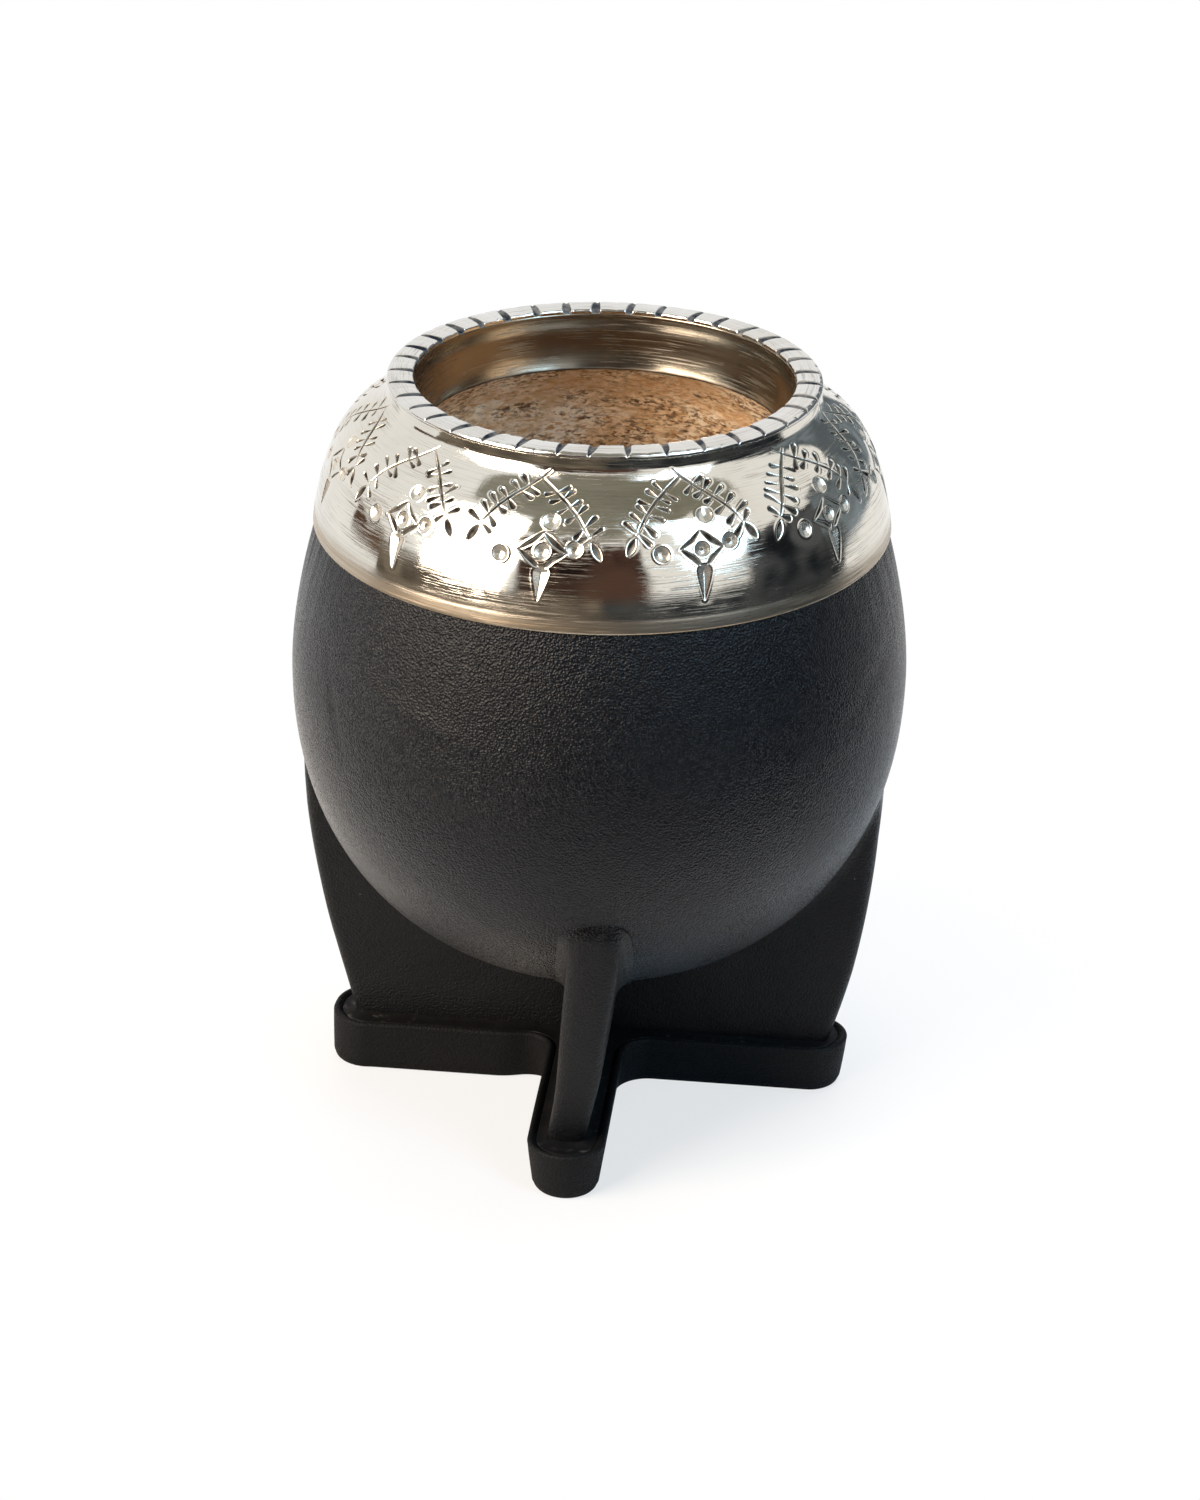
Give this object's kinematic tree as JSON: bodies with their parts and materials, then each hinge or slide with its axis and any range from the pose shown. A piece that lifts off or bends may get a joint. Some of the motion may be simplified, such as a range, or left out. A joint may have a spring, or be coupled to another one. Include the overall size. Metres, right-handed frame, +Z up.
{
  "type": "mate gourd",
  "caption": "Leather-covered calabash drinking cup with a metal mouth ferrule, carried by fins on a cross-shaped foot.",
  "frame": {"origin": "centre of the flat face that the cross foot stands on", "axes": "+Z up along the cup's axis; the fins lie along X and Y, with the front fin towards -Y"},
  "size_m": [0.093, 0.093, 0.1168],
  "materials": {
    "calabash": "dry, fibrous, mottled",
    "body_leather": "fine grain, soft sheen",
    "nickel_silver": "polished, hand chased",
    "throat_metal": "brushed round the throat",
    "wood": "planed, bare",
    "fin_leather": "fine grain, soft sheen",
    "edge_dressing": "glossy black edge paint",
    "foot_leather": "fine grain, soft sheen",
    "sole_leather": "rough flesh side",
    "screw_steel": "zinc plated"
  },
  "bodies": {
    "root": {"gourd_shell": "calabash", "body_leather": "body_leather", "ferrule_shoulder": "nickel_silver", "ferrule_throat": "throat_metal", "ferrule_rim": "nickel_silver", "fin_board_side": "wood", "fin_board_front": "wood", "fin_leather_right": "fin_leather", "fin_leather_back": "fin_leather", "fin_leather_left": "fin_leather", "fin_leather_front": "fin_leather", "foot_core": "wood", "foot_top_leather": "edge_dressing", "foot_edge_band": "foot_leather", "foot_sole": "sole_leather", "foot_screws": "screw_steel"}
  },
  "joints": []
}
